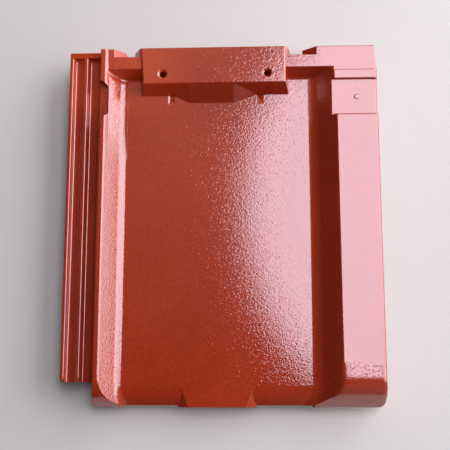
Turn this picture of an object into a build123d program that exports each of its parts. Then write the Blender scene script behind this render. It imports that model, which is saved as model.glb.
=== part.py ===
"""Interlocking clay roof tile, one pressed piece. Sizes in mm.

Drawn with x from the left edge of the side lock, y from the foot edge up the roof and z from
the surface the tile lies on. The finished tile is moved so that its origin is under its middle.
"""

import math
import os

from build123d import *

# Overall
width = 290.0
length = 332.0
lie_height = 12.0  # underside of the pan above the surface, set by the nibs and the foot lip
body = 12.0  # thickness of the pressed clay in the pan
pan_top = lie_height + body
below = 5.0  # how far cutters run past the faces they cut
bite = 1.0  # how far added pieces run into what carries them

# Side lock: two upstanding ribs with a channel beside each, measured from the left edge
lock_end_y = 22.0  # foot end of the side lock
lock_bar = 5.2  # closing bar at the head end of the channels
lock_body = 9.0
rib_rise = 7.0
rib_fade = 3.5
rib_end_rise = 1.5  # what is left of the ribs at the very end
outer_rib_width = 3.5
outer_channel = (5.2, 11.4)
inner_rib = (13.8, 17.4)
inner_channel = (18.9, 29.0)
outer_channel_rise = 2.5
inner_channel_rise = 1.0
rib_top = pan_top + rib_rise
outer_floor = pan_top + outer_channel_rise
inner_floor = pan_top + inner_channel_rise
lock_under = inner_floor - lock_body

# Left rim: steep outer wall, flat crest and a slope down to the pan
rim_rise = 16.5
rim_lean = 2.3  # from the wall's foot in the inner channel to the crest
rim_flat = 5.2
rim_run = 14.5  # run of the slope from the crest down to the pan
rim_toe_round = 9.5
rim_groove_rise = 3.2  # ceiling of the groove under the rim
rim_groove_width = 3.0
rim_groove_shift = 1.2  # from under the crest towards the pan
rim_groove_foot = 3.2  # from the groove's foot to the pan
rim_foot = 4.0  # from the wall of the lock to the groove
rim_top = pan_top + rim_rise
rim_left_x = inner_channel[1] + rim_lean
rim_crest_x = rim_left_x + rim_flat
pan_left_x = rim_crest_x + rim_run
rim_slope = rim_run / rim_rise
groove_top = pan_top + rim_groove_rise
groove_left_x = rim_crest_x + rim_groove_shift - rim_groove_width / 2
groove_right_x = groove_left_x + rim_groove_width
groove_foot_x = pan_left_x - rim_groove_foot

# Cover roll on the right, whose underside takes the side lock of the next tile
roll_rise = 17.5
roll_width = 38.0
wall_run = 19.5  # run of the sloped wall between pan and roll
wall_toe_round = 15.0
lock_gap = 1.0
flange_root = 7.0
flange_tip = 5.4
tongue_tip = 2.4  # width of the tongue that enters the outer channel
tongue_root = 4.6
roll_top = pan_top + roll_rise
roll_left_x = width - roll_width
pan_right_x = roll_left_x - wall_run
cover_width = width - (inner_channel[1] - lock_gap)
roll_under = rib_top + lock_gap
flange_bottom = inner_floor + lock_gap
tongue_bottom = outer_floor + lock_gap
tongue_x = cover_width + (outer_channel[0] + outer_channel[1]) / 2
wall_slope = wall_run / roll_rise
wall_under_x = pan_right_x + body * ((1 + wall_slope**2) ** 0.5 - wall_slope)
roll_under_x = wall_under_x + wall_slope * (roll_under - lie_height)

# Head plate: shelf between rim and roll, with the nailing block in front
shelf_rise = 15.4
shelf_depth = 20.0
shelf_draft = 5.8  # how far the foot of the front wall stands out
shelf_wall = 8.0
plate_wall = 11.0
rim_web = 4.0  # from the foot of the rim to the hollow under the plate
block_rise = 16.8
block_left_inset = 18.0  # from the left end of the pan, at the block's head
block_left_slant = 3.0  # how much further the inset is at the block's front
block_right_inset = 27.0
block_depth = 35.1
block_front_draft = 6.4
block_flank_draft = 3.0
block_wall = 10.0
shelf_top = pan_top + shelf_rise
shelf_front_y = length - shelf_depth
block_top = pan_top + block_rise
block_left_x = pan_left_x + block_left_inset
block_right_x = pan_right_x - block_right_inset
block_front_y = length - block_depth
block_foot_y = block_front_y - block_front_draft

# Swelling at the foot of the block's front wall and the small pits beside it
swell_left_inset = 28.0  # from the block's front corner
swell_right_inset = 27.0
swell_taper_left = 13.5
swell_taper_right = 19.5
swell_reach = 7.4  # how far its foot stands out of the wall's foot
swell_round = 16.0
pit_depth = 1.3
pit_run = 9.0
pit_width = 6.0
swell_left_x = block_left_x + block_left_slant + swell_left_inset
swell_right_x = block_right_x - swell_right_inset
swell_front_y = block_foot_y - swell_reach

# Notches in the head edge, wide at the top and narrow below
notch_depth = 8.0
notch_back_draft = 1.0
notch_clear = 1.0  # from the block's top edge to the notch beside it
left_notch_land = 7.6  # from the rim's crest to the notch
right_notch_land = 2.1  # from the foot of the roll's wall to the notch
left_notch_draft = (9.4, 5.8)
right_notch_draft = (3.6, 12.7)
left_notch = (rim_crest_x + left_notch_land, block_left_x - notch_clear)
right_notch = (block_right_x + notch_clear, pan_right_x + right_notch_land)

# Head of the roll: a low head part, a weather strip and the sunk seat of the roll above
seat_length = 34.0
strip_length = 9.0
roll_head_length = 23.4
seat_drop = 4.1
strip_drop = 1.6
head_taper = 2.4  # how far the roll's head narrows at its outer corner
head_taper_run = 26.0
stud_radius = 2.2
stud_rise = 0.6
strip_end_y = length - roll_head_length
seat_end_y = strip_end_y - strip_length
seat_start_y = seat_end_y - seat_length

# Clip notch on the outer side of the rim, level with the seat
clip_length = 26.0
clip_shift = 4.1
clip_depth = 7.5
clip_reach = 2.6  # past the rim's crest
clip_corner = 5.0
clip_corner_run = 5.5
clip_start_y = seat_start_y + clip_shift
clip_in_x = rim_crest_x + clip_reach

# Foot: rounded nose on rim and roll, bent pan edge on both sides of a straight middle
nose_run = 26.0
rim_nose_round = 24.0
roll_nose_round = 20.0
foot_drop = 6.0
bend_run = 19.0
foot_setback = 1.7  # of the bent edges behind the noses and the middle
middle_width = 51.7
middle_shift = -0.9
cheek = 9.5
cheek_taper = 7.0
foot_corner = 5.0
foot_top = pan_top - foot_drop
middle_left_x = (pan_left_x + pan_right_x - middle_width) / 2 + middle_shift
middle_right_x = middle_left_x + middle_width
bend_chord = bend_run - foot_setback
bend_radius = (bend_chord**2 + foot_drop**2) / (2 * foot_drop)

# Underside at the foot: lip and inner rib, which stand in front of the block of the tile below
lip_thick = 10.0
lip_draft = 2.0
lip_left_inset = 2.8
lip_right_inset = 4.0
lip_left_x = pan_left_x + lip_left_inset
lip_right_x = pan_right_x - lip_right_inset
seat_gap = 0.9
cover_length = seat_start_y - seat_gap
foot_rib_thick = 8.0
foot_rib_drop = 8.0
foot_rib_gap = 2.0
foot_rib_y = block_front_y - foot_rib_gap - cover_length
lap_rise = block_top - lie_height  # how much higher a tile lies than the one below it
end_wall = 11.0
end_gap = 1.0

# Underside at the head: two nail pads that run down into the hanging nibs
nail_spacing = 98.0
nail_shift = 2.0  # of the pair, from the middle of the block
nail_inset = 9.3  # from the front edge of the block
nail_radius = 3.0
sink_radius = 4.5
sink_depth = 1.2
pad_width = 26.0
pad_overhang = 1.7
nib_thick = 11.0
nib_inset = 7.0
nib_draft = 2.0
nail_left_x = (block_left_x + block_right_x - nail_spacing) / 2 + nail_shift
nail_y = block_front_y + nail_inset
pad_front_y = block_front_y - pad_overhang
nib_back_y = length - nib_inset

# Roundings
crest_round = 2.2
edge_round = 1.2
rib_round = 1.2
tongue_round = 0.8
channel_round = 1.5
under_round = 3.0
block_round = 1.5
shelf_round = 1.2
corner_round = 3.0
step_edge = 1.3


def along(outline, y_from, y_to):
    """Extrude a closed (x, z) outline from one y to another."""
    return extrude(Plane.XZ.offset(-y_from) * outline, -(y_to - y_from))


def across(points, x_from, x_to):
    """Extrude a closed (y, z) polygon from one x to another."""
    outline = make_face(Polyline(*points, close=True))
    return extrude(Plane.YZ.offset(x_from) * outline, x_to - x_from)


def block_between(x_from, x_to, y_from, y_to, z_from, z_to):
    size = (x_to - x_from, y_to - y_from, z_to - z_from)
    return Pos(x_from, y_from, z_from) * Box(*size, align=(Align.MIN,) * 3)


def rounded(corners):
    """Closed outline from (x, z, rounding) corners."""
    points = [(x, z) for x, z, _ in corners]
    return make_face(FilletPolyline(*points, radius=[r for _, _, r in corners], close=True))


def tile_section(roll_here, toe_share):
    """Cross-section of the tile with the roll at a given height and rounded feet of the slopes."""
    lock = [
        (0, lock_under, channel_round),
        (0, rib_top, rib_round),
        (outer_rib_width, rib_top, rib_round),
        (outer_channel[0], outer_floor, channel_round),
        (outer_channel[1], outer_floor, channel_round),
        (inner_rib[0], rib_top, rib_round),
        (inner_rib[1], rib_top, rib_round),
        (inner_channel[0], inner_floor, channel_round),
        (inner_channel[1], inner_floor, channel_round),
    ]
    roll_here_x = pan_right_x + wall_slope * (roll_here - pan_top)
    top = [
        (rim_left_x, rim_top, edge_round),
        (rim_crest_x, rim_top, crest_round),
        (pan_left_x, pan_top, rim_toe_round * toe_share),
        (pan_right_x, pan_top, wall_toe_round * toe_share),
        (roll_here_x, roll_here, crest_round),
        (width, roll_here, crest_round),
    ]
    flange = [
        (width, flange_bottom, edge_round),
        (width - flange_tip, flange_bottom, edge_round),
        (width - flange_root, roll_under, edge_round),
        (tongue_x + tongue_root / 2, roll_under, tongue_round),
        (tongue_x + tongue_tip / 2, tongue_bottom, tongue_round),
        (tongue_x - tongue_tip / 2, tongue_bottom, tongue_round),
        (tongue_x - tongue_root / 2, roll_under, tongue_round),
        (roll_under_x, roll_under, under_round),
        (wall_under_x, lie_height, under_round),
    ]
    groove = [
        (groove_foot_x, lie_height, under_round),
        (groove_right_x, groove_top, edge_round),
        (groove_left_x, groove_top, edge_round),
        (inner_channel[1] + rim_foot, lock_under, under_round),
    ]
    return rounded(lock + top + flange + groove)


def shelf():
    """Shelf between rim and roll, at the head, with the rounded edge of its drafted front wall."""
    front_low = shelf_front_y - shelf_draft
    corners = [
        (length, shelf_top, 0),
        (shelf_front_y, shelf_top, shelf_round),
        (front_low, pan_top, 0),
        (front_low, lie_height, 0),
        (length, lie_height, 0),
    ]
    plate = extrude(Plane.YZ.offset(rim_crest_x) * rounded(corners), roll_left_x - rim_crest_x)
    under_roll = make_face(
        Polyline(
            (wall_under_x, -below),
            (wall_under_x, lie_height),
            (roll_under_x, roll_under),
            (roll_under_x, -below),
            close=True,
        )
    )
    under_rim = make_face(
        Polyline(
            (0, -below),
            (0, groove_top),
            (groove_right_x, groove_top),
            (groove_foot_x, lie_height),
            (groove_foot_x, -below),
            close=True,
        )
    )
    return plate - along(under_roll, 0, length + below) - along(under_rim, 0, length + below)


def nailing_block():
    """Raised block with drafted front and flanks and rounded top edges, on the shelf."""
    top = Polyline(
        (block_left_x, length),
        (block_left_x + block_left_slant, block_front_y),
        (block_right_x, block_front_y),
        (block_right_x, length),
        close=True,
    )
    foot = Polyline(
        (block_left_x - block_flank_draft, length),
        (block_left_x + block_left_slant - block_flank_draft, block_foot_y),
        (block_right_x + block_flank_draft, block_foot_y),
        (block_right_x + block_flank_draft, length),
        close=True,
    )
    block = loft([Pos(0, 0, pan_top) * make_face(foot), Pos(0, 0, block_top) * make_face(top)])
    rims = block.edges().filter_by_position(Axis.Z, block_top, block_top)
    rims = rims.filter_by(lambda edge: edge.center().Y < length - bite)
    block = fillet(rims, block_round)
    root = extrude(make_face(foot), pan_top - lie_height)
    return block + Pos(0, 0, lie_height) * root


def swelling():
    """Swelling in the middle of the block's front wall, leaning back until it is gone."""
    plan = FilletPolyline(
        (swell_left_x, block_front_y),
        (swell_left_x, block_foot_y),
        (swell_left_x + swell_taper_left, swell_front_y),
        (swell_right_x - swell_taper_right, swell_front_y),
        (swell_right_x, block_foot_y),
        (swell_right_x, block_front_y),
        radius=[0, 0, swell_round, swell_round, 0, 0],
        close=True,
    )
    foot = make_face(plan)
    rise = block_rise - block_round
    lean = swell_reach + block_front_draft * rise / block_rise
    column = extrude(Pos(0, 0, pan_top) * foot, (lean**2 + rise**2) ** 0.5, dir=(0, lean, rise))
    return column + extrude(Pos(0, 0, lie_height) * foot, body)


def head_pits():
    """Small pits of the pan in the corners left and right of the swelling."""
    wedge = [(block_foot_y - pit_run, pan_top), (block_foot_y, pan_top - pit_depth),
             (block_foot_y, pan_top)]
    pits = []
    for x, side in ((swell_left_x, -1), (swell_right_x, 1)):
        far_x = x + side * pit_width
        fading = make_face(Polyline((x, pan_top - pit_depth), (x, pan_top), (far_x, pan_top), close=True))
        pits.append(across(wedge, min(x, far_x), max(x, far_x)) & along(fading, 0, length))
    return pits


def shelf_corners(tile):
    """Rounded inner corners where the shelf's front wall meets the pan and the two slopes."""
    foot_y = shelf_front_y - shelf_draft
    corners = tile.edges().filter_by_position(Axis.Y, foot_y - bite, shelf_front_y)
    corners = corners.filter_by_position(Axis.Z, pan_top - bite, shelf_top - 2 * shelf_round)
    left = corners.filter_by_position(Axis.X, rim_crest_x, block_left_x - bite)
    right = corners.filter_by_position(Axis.X, block_right_x + block_flank_draft + bite, roll_left_x)
    return fillet(left + right, corner_round)


def tapered_notch(span, drafts):
    """Notch in the head edge between two x values, narrower at the underside of the plate."""
    depth = shelf_rise + body
    lower = shelf_top - plate_wall
    top_y = length - notch_depth
    upper = make_face(Polyline((span[0], top_y), (span[1], top_y), (span[1], length + below),
                               (span[0], length + below), close=True))
    narrow = make_face(
        Polyline(
            (span[0] + drafts[0], top_y + notch_back_draft),
            (span[1] - drafts[1], top_y + notch_back_draft),
            (span[1] - drafts[1], length + below),
            (span[0] + drafts[0], length + below),
            close=True,
        )
    )
    funnel = loft([Pos(0, 0, lower) * narrow, Pos(0, 0, shelf_top) * upper])
    above = extrude(Pos(0, 0, shelf_top) * upper, below)
    return funnel + above + extrude(Pos(0, 0, lower - depth) * narrow, depth)


def head_corner_cut():
    """Taper of the roll's head at its outer corner, seen from above."""
    plan = Polyline(
        (width, length - head_taper_run),
        (width + below, length - head_taper_run),
        (width + below, length + below),
        (width - head_taper, length + below),
        (width - head_taper, length),
        close=True,
    )
    return extrude(make_face(plan), roll_top + below)


def step_round(y, z, side, radius):
    """What rounds the top edge of a step across the roll; side is 1 where it faces the head."""
    centre = (y - side * radius, z - radius)
    arc = CenterArc(centre, radius, 90, -90 * side)
    out = y + side * bite
    high = z + bite
    outline = make_face(
        [
            arc,
            Line(arc @ 1, (out, z - radius)),
            Line((out, z - radius), (out, high)),
            Line((out, high), (centre[0], high)),
            Line((centre[0], high), arc @ 0),
        ]
    )
    return extrude(Plane.YZ.offset(pan_right_x) * outline, width + below - pan_right_x)


def roll_steps():
    """Rounded top edges of the steps at the seat and the weather strip."""
    strip_top = roll_top - strip_drop
    head_step = strip_top - shelf_top
    return [
        step_round(seat_start_y, roll_top, 1, step_edge),
        step_round(seat_end_y, strip_top, -1, step_edge),
        step_round(strip_end_y, strip_top, 1, head_step),
    ]


def seat_stud():
    middle_x = (roll_left_x + width) / 2
    middle_y = (seat_start_y + seat_end_y) / 2
    return Pos(middle_x, middle_y, roll_top - seat_drop) * Cylinder(stud_radius, 2 * stud_rise)


def clip_notch():
    """Pocket for the storm clip in the outer side of the rim."""
    clip_end_y = clip_start_y + clip_length
    outer_x = inner_channel[1] - below
    plan = FilletPolyline(
        (outer_x, clip_start_y - clip_corner),
        (clip_in_x - clip_corner_run, clip_start_y - clip_corner),
        (clip_in_x, clip_start_y),
        (clip_in_x, clip_end_y),
        (clip_in_x - clip_corner_run, clip_end_y + clip_corner),
        (outer_x, clip_end_y + clip_corner),
        radius=[0, edge_round, edge_round, edge_round, edge_round, 0],
        close=True,
    )
    floor = rim_top - clip_depth
    return extrude(Pos(0, 0, floor) * make_face(plan), clip_depth + below)


def foot_nose(x_from, x_to, top, nose_round):
    """What is cut away at the foot end of the rim or the roll: an arc and its tangent slope."""
    centre_z = top - nose_round
    reach = math.hypot(nose_run, foot_top - centre_z)
    bearing = math.degrees(math.atan2(foot_top - centre_z, -nose_run)) % 360
    tangent_at = bearing - math.degrees(math.acos(nose_round / reach))
    arc = CenterArc((nose_run, centre_z), nose_round, 90, tangent_at - 90)
    outline = make_face(
        [
            arc,
            Line(arc @ 1, (0, foot_top)),
            Line((0, foot_top), (-below, foot_top)),
            Line((-below, foot_top), (-below, top + below)),
            Line((-below, top + below), (nose_run, top + below)),
            Line((nose_run, top + below), (nose_run, top)),
        ]
    )
    return extrude(Plane.YZ.offset(x_from) * outline, x_to - x_from)


def bend_outline():
    """What lies above the bent pan edge, in the (y, z) plane."""
    turn = math.degrees(math.asin(bend_chord / bend_radius))
    arc = CenterArc((bend_run, pan_top - bend_radius), bend_radius, 90, turn)
    high = pan_top + bite
    low = foot_top - bite
    return make_face(
        [
            arc,
            Line(arc @ 1, (foot_setback, low)),
            Line((foot_setback, low), (-below, low)),
            Line((-below, low), (-below, high)),
            Line((-below, high), (bend_run, high)),
            Line((bend_run, high), (bend_run, pan_top)),
        ]
    )


def foot_bend(slope_x, slope, middle_x, side):
    """Cut that bends the pan edge down between a slope's foot and the straight middle."""
    deep = foot_drop + 2 * bite
    low = pan_top - deep
    centre_x = (pan_left_x + pan_right_x) / 2
    lean = cheek * deep / foot_drop
    front_x = middle_x + side * cheek_taper * below / bend_run
    slope_side = make_face(
        Polyline((slope_x, pan_top), (centre_x, pan_top), (centre_x, low),
                 (slope_x + side * slope * deep, low), close=True)
    )
    cheek_side = make_face(
        Polyline((slope_x - side * wall_run, pan_top), (front_x, pan_top), (front_x - side * lean, low),
                 (slope_x - side * wall_run, low), close=True)
    )
    reach = bend_run + 2 * below
    slant = Vector(-side * cheek_taper / bend_run, 1, 0)
    cheek_block = extrude(Plane.XZ.offset(below) * cheek_side, reach * slant.length, dir=slant)
    bend = extrude(Plane.YZ * bend_outline(), width)
    return along(slope_side, -below, bend_run) & cheek_block & bend


def foot_part():
    """Foot end of the tile, where the pan edge is bent down on both sides of the middle."""
    part = along(tile_section(roll_top, 0), 0, bend_run)
    part -= foot_bend(pan_left_x, rim_slope, middle_left_x, 1)
    part -= foot_bend(pan_right_x, wall_slope, middle_right_x, -1)
    toes = part.edges().filter_by(GeomType.ELLIPSE).sort_by(Axis.X)
    part = fillet(toes[0], rim_toe_round)
    toes = part.edges().filter_by(GeomType.ELLIPSE).sort_by(Axis.X)
    return fillet(toes[-1], wall_toe_round)


def foot_underside():
    """Lip under the bent foot edge and the rib behind it, both open in the middle."""
    parts = None
    left_end = middle_left_x - cheek
    right_end = middle_right_x + cheek
    front = foot_setback
    for x_from, x_to in ((lip_left_x, left_end), (right_end, lip_right_x)):
        lip = across([(front, 0), (front, foot_top - bite), (lip_thick + lip_draft, foot_top - bite),
                      (lip_thick, 0)], x_from, x_to)
        rib_low = lie_height - foot_rib_drop
        rib_front = foot_rib_y - foot_rib_thick
        rib = across([(rib_front, rib_low), (rib_front - lip_draft, lie_height + bite),
                      (foot_rib_y + lip_draft, lie_height + bite), (foot_rib_y, rib_low)],
                     x_from, x_to)
        parts = lip + rib if parts is None else parts + lip + rib
    return parts


def foot_face_cut():
    """Step of the foot face behind the noses and the middle."""
    left = block_between(lip_left_x, middle_left_x - cheek, -below, foot_setback, -below, foot_top)
    right = block_between(middle_right_x + cheek, lip_right_x, -below, foot_setback, -below, foot_top)
    return left + right


def roll_end_wall():
    """Wall that closes the foot of the roll, down to just over the seat of the tile below."""
    low = roll_top - seat_drop + end_gap - lap_rise
    outline = make_face(
        Polyline(
            (lip_right_x, low),
            (lip_right_x, foot_top),
            (wall_under_x, pan_top),
            (roll_under_x, roll_under + bite),
            (width, roll_under + bite),
            (width, low),
            close=True,
        )
    )
    return along(outline, 0, end_wall)


def rim_end_wall():
    """Wall that closes the foot of the rim, down to just over the rim of the tile below."""
    low = rim_top + end_gap - lap_rise
    outline = make_face(
        Polyline(
            (inner_channel[1], low),
            (inner_channel[1], inner_floor),
            (groove_left_x, groove_top + bite),
            (groove_right_x, groove_top + bite),
            (groove_foot_x, pan_top),
            (lip_left_x, foot_top),
            (lip_left_x, low),
            close=True,
        )
    )
    return along(outline, 0, end_wall)


def foot_corner_cut():
    """Rounding of the roll's outer corner at the foot, seen from above."""
    corner = Pos(width - foot_corner, 0, 0) * Box(
        2 * foot_corner, foot_corner, roll_top + below, align=(Align.MIN, Align.MIN, Align.MIN)
    )
    post = Pos(width - foot_corner, foot_corner, 0) * Cylinder(
        foot_corner, roll_top + below, align=(Align.CENTER, Align.CENTER, Align.MIN)
    )
    return corner - post


def lock_cuts():
    """Foot end of the side lock, with the ribs running out just before it."""
    end = block_between(-below, inner_channel[1], -below, lock_end_y, 0, rib_top + below)
    fade = across(
        [
            (lock_end_y - bite, inner_floor + rib_end_rise),
            (lock_end_y + rib_fade, rib_top),
            (lock_end_y + rib_fade, rib_top + below),
            (lock_end_y - bite, rib_top + below),
        ],
        -below,
        inner_channel[1],
    )
    return end + fade


def lock_bar_solid():
    """Bar that closes both channels at the head."""
    return block_between(outer_rib_width / 2, inner_channel[1] + bite, length - lock_bar, length,
                         lock_under, rib_top)


def plate_hollow():
    """Hollow under the shelf and the block, open downwards and to the head."""
    ceiling = shelf_top - plate_wall
    low = -below
    shelf_back = shelf_front_y + shelf_wall
    under_shelf = across(
        [
            (shelf_back - shelf_draft, low),
            (shelf_back, ceiling),
            (length + below, ceiling),
            (length + below, low),
        ],
        rim_crest_x,
        roll_left_x,
    )
    flanks = make_face(
        Polyline(
            (pan_left_x + rim_web, low),
            (pan_left_x + rim_web, ceiling),
            (pan_right_x + wall_slope * (ceiling - pan_top), ceiling),
            (pan_right_x - wall_slope * (pan_top - low), low),
            close=True,
        )
    )
    block_back = block_front_y + block_wall
    under_block = across(
        [
            (block_back - block_front_draft, low),
            (block_back, ceiling),
            (length + below, ceiling),
            (length + below, low),
        ],
        block_left_x + block_wall,
        block_right_x - block_wall,
    )
    return (under_shelf & along(flanks, 0, length + below)) + under_block


def nail_pads():
    """Pads round the nail holes, running down into the nibs that hang on the batten."""
    pads = None
    nib_front = nib_back_y - nib_thick
    pad_top = shelf_top - plate_wall + bite
    for x in (nail_left_x, nail_left_x + nail_spacing):
        profile = [
            (pad_front_y, lie_height),
            (pad_front_y, pad_top),
            (nib_back_y, pad_top),
            (nib_back_y, lie_height),
            (nib_back_y - nib_draft, 0),
            (nib_front, 0),
            (nib_front, lie_height),
        ]
        pad = across(profile, x - pad_width / 2, x + pad_width / 2)
        pads = pad if pads is None else pads + pad
    return pads


def nail_holes():
    holes = None
    for x in (nail_left_x, nail_left_x + nail_spacing):
        bore = Pos(x, nail_y, block_top / 2) * Cylinder(nail_radius, block_top + 2 * below)
        sink = Pos(x, nail_y, block_top - sink_depth / 2) * Cone(nail_radius, sink_radius, sink_depth)
        holes = bore + sink if holes is None else holes + bore + sink
    return holes


def long_body():
    """Tile from the bent foot edge to the head, in lengths that differ in the roll's height."""
    tile = foot_part()
    lengths = [
        (bend_run, seat_start_y, roll_top),
        (seat_start_y, seat_end_y, roll_top - seat_drop),
        (seat_end_y, strip_end_y, roll_top - strip_drop),
        (strip_end_y, length, shelf_top),
    ]
    for y_from, y_to, roll_here in lengths:
        tile += along(tile_section(roll_here, 1), y_from, y_to)
    return tile


def roof_tile():
    tile = long_body()
    tile -= foot_nose(-below, pan_left_x, rim_top, rim_nose_round)
    tile -= clip_notch() + head_corner_cut()
    for cut in roll_steps():
        tile -= cut
    tile = shelf_corners(tile + shelf() + nailing_block() + swelling())
    tile -= plate_hollow()
    tile += nail_pads()
    for pit in head_pits():
        tile -= pit
    tile -= tapered_notch(left_notch, left_notch_draft)
    tile -= tapered_notch(right_notch, right_notch_draft)
    tile += lock_bar_solid()
    tile += seat_stud()
    tile += foot_underside() + roll_end_wall() + rim_end_wall()
    tile -= foot_nose(-below, lip_left_x, rim_top, rim_nose_round)
    tile -= foot_nose(lip_right_x, width + below, roll_top, roll_nose_round)
    tile -= lock_cuts() + foot_corner_cut() + foot_face_cut()
    tile -= nail_holes()
    return Pos(-width / 2, -length / 2, 0) * tile


if __name__ == "__main__":
    os.makedirs("parts", exist_ok=True)
    tile = roof_tile()
    print("solids", len(tile.solids()), "volume cm3", round(tile.volume / 1000, 1), tile.bounding_box())
    export_step(tile, "parts/roof_tile.step")
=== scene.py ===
"""Looks of the glazed clay roof tile: glaze, edge rounding, studio light and the camera above it."""

import math

import bmesh
import bpy
from mathutils import Matrix, Vector


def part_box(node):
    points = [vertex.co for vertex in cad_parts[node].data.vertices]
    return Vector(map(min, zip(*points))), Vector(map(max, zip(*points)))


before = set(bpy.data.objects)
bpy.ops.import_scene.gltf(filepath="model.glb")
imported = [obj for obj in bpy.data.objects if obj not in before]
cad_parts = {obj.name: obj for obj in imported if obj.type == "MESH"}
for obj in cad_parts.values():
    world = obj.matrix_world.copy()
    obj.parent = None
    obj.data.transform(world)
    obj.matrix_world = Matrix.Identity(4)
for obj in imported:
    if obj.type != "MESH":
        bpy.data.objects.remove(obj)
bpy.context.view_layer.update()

# Sides of the tile, from the frame, and the middle between foot and head, all in metres
(tile_left, tile_foot, _), (tile_right, tile_head, tile_top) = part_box("roof_tile")
tile_middle = (tile_foot + tile_head) / 2

# Camera over the tile, fitted to the photograph's 450 x 450 frame
camera_place = (0.0333, -0.1295, 0.7524)
camera_right = (0.99914, -0.00043, -0.04149)
camera_up = (0.00762, 0.98484, 0.17330)
camera_lens = 64.0
camera_sensor = 36.0
camera_clip_start = 0.05

# Smooth steps between the surfaces, across the tile, each as the places where it begins and is complete
lock_to_rim = (tile_left + 0.0285, tile_left + 0.0365)
rim_to_pan = (tile_left + 0.0482, tile_left + 0.0553)
pan_to_roll = (tile_right - 0.061, tile_right - 0.041)

# Spots of the glaze: on each axis the step that begins the spot and the one that ends it, or None
pan_spot = {"across": (rim_to_pan, pan_to_roll)}
slope_spot = {"across": (lock_to_rim, rim_to_pan)}
block_spot = {
    "across": (rim_to_pan, pan_to_roll),
    "along": ((tile_head - 0.046, tile_head - 0.038), None),
}
head_half_spot = {"along": ((tile_middle, tile_head - 0.066), None)}
roll_nose_spot = {
    "across": ((tile_right - 0.053, tile_right - 0.045), None),
    "along": (None, (tile_foot + 0.036, tile_foot + 0.042)),
}
stippled_slope_spot = {
    "across": ((tile_left + 0.0385, tile_left + 0.0395), (tile_left + 0.055, tile_left + 0.0554)),
    "along": ((tile_head - 0.106, tile_head - 0.066), (tile_head - 0.03, tile_head - 0.024)),
}
left_pit_spot = {
    "across": ((tile_left + 0.0947, tile_left + 0.0955), (tile_left + 0.1013, tile_left + 0.1021)),
    "up": (None, (tile_top - 0.0183, tile_top - 0.0176)),
    "along": ((tile_head - 0.066, tile_head - 0.061), None),
}
# Painted light: a lighter, more orange spot on the left half of the head, where the light falls stronger
painted_light_spot = {
    "along": ((tile_head - 0.071, tile_head - 0.041), None),
    "across": (None, (tile_left + 0.07, tile_left + 0.13)),
}
dull_wall_spot = {
    "across": ((tile_right - 0.065, tile_right - 0.061), (tile_right - 0.041, tile_right - 0.039)),
    "up": (None, (tile_top - 0.0055, tile_top - 0.004)),
    "along": ((tile_head - 0.081, tile_head - 0.066), (tile_head - 0.026, tile_head - 0.021)),
}
dull_slope_spot = {
    "across": ((tile_left + 0.0405, tile_left + 0.0415), (tile_left + 0.0555, tile_left + 0.0565)),
    "along": ((tile_head - 0.0155, tile_head - 0.0135), None),
    "up": (None, (tile_top - 0.003, tile_top - 0.0023)),
}

# Fineness of each grain in the glaze, as its cells per metre
peel_cells = 600.0
wave_cells = 150.0
coarse_cells = 330.0
dimple_cells = 560.0
prick_cells = 380.0
pit_cells = 170.0
mottle_cells = 22.0
mottle_detail = 3.0

# How many times a dent's radius goes into its cell
dimple_narrowness = 2.2
prick_narrowness = 3.3
pit_narrowness = 7.0

# Relief of the glaze: the depth of a grain of strength 1, and the strength of each grain
relief_depth = 0.00006
peel_everywhere = 0.16
peel_on_pan = 0.66
peel_on_slope = 1.4
coarse_on_block = 1.2
waves_everywhere = 0.2
pits_everywhere = 0.5
dimples_on_pan = 0.3
dimples_on_slope = 2.0
dimples_on_stipple = 2.0
pricks_on_pan = 0.5
more_pricks_at_head = 0.3

# Spots that lean in the shading, as rise over run, and the place across the tile where the rise is 0
stipple_lean = 0.192
stipple_hinge = tile_left + 0.0395
pit_lean = 0.252
pit_hinge = tile_left + 0.0951

# Rounding of the edges in the shading
edge_radius = 0.0007
more_radius_at_nose = 0.0053
edge_samples = 8

# Colours of the glaze: mottle and peel together bring the bright red in, from bright_red_start on
deep_red = (0.335, 0.03, 0.008, 1.0)
bright_red = (0.49, 0.049, 0.0155, 1.0)
# Painted light: the lighter orange red that stands in for the stronger light on the left half of the head
painted_light_orange = (0.62, 0.075, 0.02, 1.0)
mottle_in_colour = 0.8
peel_in_colour = 1.4
bright_red_start = 0.6
# How much of that painted light orange is mixed in at the spot
painted_light_share = 0.7

# Gloss of the glaze
glaze_refraction = 1.95
least_roughness = 0.05
peel_in_roughness = 0.04
dull_wall_roughness = 0.2
dull_slope_roughness = 0.5

# Studio floor
floor_half_size = 3.0
floor_colour = (0.76, 0.79, 0.76, 1.0)
floor_roughness = 0.7

# Soft sky: dark at the far left, brighter towards the head, faint at the foot's right
sky_colour = (1.0, 0.95, 0.88, 1.0)
sky_least = 0.02
sky_head_start = 0.01
sky_head_most = 0.6
sky_left_tilt = 0.21
sky_left_sharpness = 30.0
sky_foot_rise = 1.8
sky_foot_most = 0.2
sky_seen = 0.7

# Sockets of a Mix node that takes colours
mix_first = 6
mix_second = 7
mix_result = 2


class Value:
    """A number socket that takes part in Python expressions."""

    def __init__(self, nodes, socket):
        self.nodes = nodes
        self.socket = socket

    def _maths(self, operation, first, second):
        return self.nodes.make("ShaderNodeMath", {"operation": operation}, {0: first, 1: second}).value(0)

    def __add__(self, other):
        return self._maths("ADD", self, other)

    def __radd__(self, other):
        return self._maths("ADD", other, self)

    def __sub__(self, other):
        return self._maths("SUBTRACT", self, other)

    def __rsub__(self, other):
        return self._maths("SUBTRACT", other, self)

    def __mul__(self, other):
        return self._maths("MULTIPLY", self, other)

    def __rmul__(self, other):
        return self._maths("MULTIPLY", other, self)

    def __truediv__(self, other):
        return self._maths("DIVIDE", self, other)

    def __rtruediv__(self, other):
        return self._maths("DIVIDE", other, self)

    def clamped(self, low, high):
        return self._maths("MINIMUM", self._maths("MAXIMUM", self, low), high)


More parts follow.
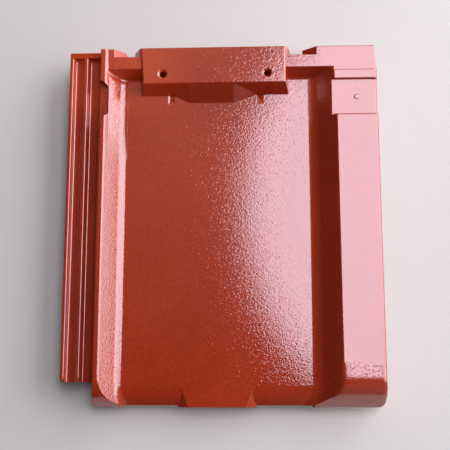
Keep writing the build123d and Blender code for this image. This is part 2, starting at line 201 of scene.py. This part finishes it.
class Made:
    """A made node, whose outputs are read by name or number."""

    def __init__(self, nodes, node):
        self.nodes = nodes
        self.node = node

    def value(self, key):
        return Value(self.nodes, self.node.outputs[key])

    def out(self, key):
        return self.node.outputs[key]


class Nodes:
    """Node tree of one material or of the world."""

    def __init__(self, tree):
        self.tree = tree
        tree.nodes.clear()

    def make(self, kind, settings, inputs):
        node = self.tree.nodes.new(kind)
        for name, setting in settings.items():
            setattr(node, name, setting)
        for key, given in inputs.items():
            given = given.socket if isinstance(given, Value) else given
            if isinstance(given, bpy.types.NodeSocket):
                self.tree.links.new(given, node.inputs[key])
            else:
                node.inputs[key].default_value = given
        return Made(self, node)

    def mix(self, factor, first, second):
        """The first colour at a factor of 0, the second at 1."""
        inputs = {"Factor": factor, mix_first: first, mix_second: second}
        return self.make("ShaderNodeMix", {"data_type": "RGBA"}, inputs).out(mix_result)


class Glaze(Nodes):
    """Node tree of the tile's glaze, with its grains and its spots."""

    def __init__(self, tree):
        super().__init__(tree)
        self.place = self.make("ShaderNodeTexCoord", {}, {}).out("Object")
        axes = self.make("ShaderNodeSeparateXYZ", {}, {"Vector": self.place})
        self.axes = {"across": axes.value("X"), "along": axes.value("Y"), "up": axes.value("Z")}

    def noise(self, cells, detail=1.0):
        inputs = {"Vector": self.place, "Scale": cells, "Detail": detail, "Roughness": 0.5}
        return self.make("ShaderNodeTexNoise", {}, inputs).value("Fac")

    def dents(self, cells, narrowness):
        """Small round dents: 1 in the middle of each, 0 between them."""
        inputs = {"Vector": self.place, "Scale": cells, "Randomness": 1.0}
        scattered = self.make("ShaderNodeTexVoronoi", {"feature": "F1"}, inputs)
        return (1.0 - scattered.value("Distance") * narrowness).clamped(0.0, 1.0)

    def after(self, axis, step):
        """0 before a step on that axis, 1 after it, smooth between."""
        begins, complete = step
        inputs = {"Value": self.axes[axis], "From Min": begins, "From Max": complete}
        return self.make("ShaderNodeMapRange", {"interpolation_type": "SMOOTHSTEP"}, inputs).value("Result")

    def spot(self, steps):
        """1 in a spot of the glaze, 0 outside it."""
        masks = []
        for axis, (first, last) in steps.items():
            if first:
                masks.append(self.after(axis, first))
            if last:
                masks.append(1.0 - self.after(axis, last))
        return math.prod(masks)

    def lean(self, hinge, rise, spot):
        """Height that makes a spot lean across the tile, with no rise at the hinge."""
        return (self.axes["across"] - hinge) * (rise / relief_depth) * spot


def glaze_height(glaze, peel, roll_nose):
    """Grain of the glaze: orange peel on pan and slope, coarser on the block, stipple, and fine dents."""
    pan = glaze.spot(pan_spot)
    slope = glaze.spot(slope_spot)
    stipple = glaze.spot(stippled_slope_spot)
    coarse = glaze.noise(coarse_cells) * glaze.spot(block_spot) * coarse_on_block
    peeled = peel * (peel_everywhere + pan * peel_on_pan + slope * peel_on_slope)
    waves = glaze.noise(wave_cells) * waves_everywhere
    pits = glaze.dents(pit_cells, pit_narrowness) * pits_everywhere
    dimpled = pan * dimples_on_pan + slope * dimples_on_slope + stipple * dimples_on_stipple + roll_nose
    dimples = glaze.dents(dimple_cells, dimple_narrowness) * dimpled
    pricked = pan * (pricks_on_pan + glaze.spot(head_half_spot) * more_pricks_at_head) + slope
    pricks = glaze.dents(prick_cells, prick_narrowness) * pricked
    leaning_stipple = glaze.lean(stipple_hinge, stipple_lean, stipple)
    leaning_pit = glaze.lean(pit_hinge, pit_lean, glaze.spot(left_pit_spot))
    return coarse + peeled + waves - pits - dimples - pricks + leaning_stipple + leaning_pit


def glaze_colour(glaze, peel):
    """Mottled brick red, with painted light: lighter and more orange on the left half of the head, where
    more light falls.
    """
    mottle = glaze.noise(mottle_cells, mottle_detail)
    bright = (mottle * mottle_in_colour + peel * peel_in_colour - bright_red_start).clamped(0.0, 1.0)
    # Painted light: lightens the left half of the head towards orange
    painted_light = glaze.spot(painted_light_spot) * painted_light_share
    return glaze.mix(painted_light, glaze.mix(bright, deep_red, bright_red), painted_light_orange)


def glaze_roughness(glaze, peel):
    """Gloss all over, duller on a spot of the roll's wall and one of the rim's slope, near the head."""
    dull_wall = glaze.spot(dull_wall_spot) * dull_wall_roughness
    dull_slope = glaze.spot(dull_slope_spot) * dull_slope_roughness
    return least_roughness + peel * peel_in_roughness + dull_wall + dull_slope


def new_material(name):
    material = bpy.data.materials.new(name)
    material.use_nodes = True
    return material


def glaze_material():
    material = new_material("glazed_clay_look")
    glaze = Glaze(material.node_tree)
    peel = glaze.noise(peel_cells)
    roll_nose = glaze.spot(roll_nose_spot)
    radius = edge_radius + roll_nose * more_radius_at_nose
    rounded = glaze.make("ShaderNodeBevel", {"samples": edge_samples}, {"Radius": radius})
    relief = glaze.make("ShaderNodeBump", {}, {
        "Strength": 1.0,
        "Distance": relief_depth,
        "Height": glaze_height(glaze, peel, roll_nose),
        "Normal": rounded.out("Normal"),
    })
    shader = glaze.make("ShaderNodeBsdfPrincipled", {}, {
        "Base Color": glaze_colour(glaze, peel),
        "Roughness": glaze_roughness(glaze, peel),
        "IOR": glaze_refraction,
        "Normal": relief.out("Normal"),
    })
    glaze.make("ShaderNodeOutputMaterial", {}, {"Surface": shader.out("BSDF")})
    return material


def floor_material():
    material = new_material("studio_floor")
    nodes = Nodes(material.node_tree)
    shader = nodes.make("ShaderNodeBsdfPrincipled", {}, {
        "Base Color": floor_colour,
        "Roughness": floor_roughness,
    })
    nodes.make("ShaderNodeOutputMaterial", {}, {"Surface": shader.out("BSDF")})
    return material


def put_in_scene(name, data):
    """New object with that mesh, lamp or camera, in the scene."""
    made = bpy.data.objects.new(name, data)
    bpy.context.scene.collection.objects.link(made)
    return made


def turned(place, right, up, back):
    """Matrix that puts an object at a place, with its own axes along right, up and back."""
    return Matrix.Translation(place) @ Matrix((right, up, back)).transposed().to_4x4()


def camera():
    data = bpy.data.cameras.new("camera")
    data.sensor_width = camera_sensor
    data.lens = camera_lens
    data.clip_start = camera_clip_start
    viewer = put_in_scene("camera", data)
    right = Vector(camera_right).normalized()
    back = right.cross(Vector(camera_up)).normalized()
    viewer.matrix_world = turned(camera_place, right, back.cross(right), back)
    bpy.context.scene.camera = viewer


def studio_floor():
    mesh = bpy.data.meshes.new("studio_floor")
    shape = bmesh.new()
    bmesh.ops.create_grid(shape, x_segments=1, y_segments=1, size=floor_half_size)
    shape.to_mesh(mesh)
    shape.free()
    mesh.materials.append(floor_material())
    put_in_scene("studio_floor", mesh)


def studio_sky():
    """Soft sky that lights the tile and shows in its gloss. The camera sees it as one pale tone."""
    world = bpy.data.worlds.new("studio_air")
    bpy.context.scene.world = world
    world.use_nodes = True
    nodes = Nodes(world.node_tree)
    direction = nodes.make("ShaderNodeTexCoord", {}, {}).out("Generated")
    axes = nodes.make("ShaderNodeSeparateXYZ", {}, {"Vector": direction})
    across = axes.value("X")
    along = axes.value("Y")
    up = axes.value("Z")
    not_far_left = ((across / up + sky_left_tilt) * sky_left_sharpness).clamped(0.0, 1.0)
    from_foot = (across.clamped(0.0, 1.0) * along * -sky_foot_rise).clamped(0.0, sky_foot_most)
    from_head = (sky_head_start + along * up).clamped(0.0, sky_head_most) * not_far_left
    glow = from_foot + sky_least + from_head
    seen = nodes.make("ShaderNodeLightPath", {}, {}).value("Is Camera Ray")
    sky = nodes.make("ShaderNodeBackground", {}, {
        "Color": sky_colour,
        "Strength": glow * (1.0 - seen) + seen * sky_seen,
    })
    nodes.make("ShaderNodeOutputWorld", {}, {"Surface": sky.out("Background")})


def soft_panel(name, shape, centre, aim, width, length, radiance, colour, gloss_only=False):
    """Soft studio panel that faces a point, with its length level along the tile."""
    light = bpy.data.lights.new(name, "AREA")
    light.shape = shape
    light.size = width
    light.size_y = length
    area = width * length * (math.pi / 4 if shape == "ELLIPSE" else 1.0)
    light.energy = radiance * math.pi * area
    light.color = colour
    lamp = put_in_scene(name, light)
    back = (Vector(centre) - Vector(aim)).normalized()
    side = Vector((0.0, 1.0, 0.0)).cross(back).normalized()
    lamp.matrix_world = turned(centre, side, back.cross(side), back)
    lamp.visible_diffuse = not gloss_only


def studio_panels():
    soft_panel(
        "overhead_panel", "ELLIPSE", centre=(0.447, 0.43, 2.0), aim=(0.447, 0.43, 0.0),
        width=0.9, length=1.38, radiance=5.0, colour=(0.98, 0.86, 1.0),
    )
    soft_panel(
        "right_panel", "RECTANGLE", centre=(1.6, 0.7, 0.85), aim=(0.0, 0.1, 0.0),
        width=1.9, length=2.6, radiance=3.5, colour=(1.0, 0.91, 0.95),
    )
    soft_panel(
        "joining_panel", "RECTANGLE", centre=(0.94, 0.45, 1.7), aim=(-0.09, 0.0, 0.03),
        width=0.4, length=1.8, radiance=5.2, colour=(1.0, 0.88, 0.98), gloss_only=True,
    )
    soft_panel(
        "upper_right_panel", "RECTANGLE", centre=(1.483, 0.7, 1.071), aim=(-0.117, 0.1, 0.221),
        width=1.4, length=2.6, radiance=1.5, colour=(1.0, 0.85, 1.0), gloss_only=True,
    )


def dress_tile():
    look = glaze_material()
    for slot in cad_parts["roof_tile"].material_slots:
        slot.material = look


camera()
studio_floor()
studio_sky()
studio_panels()
dress_tile()

bpy.context.scene.view_settings.view_transform = "Standard"
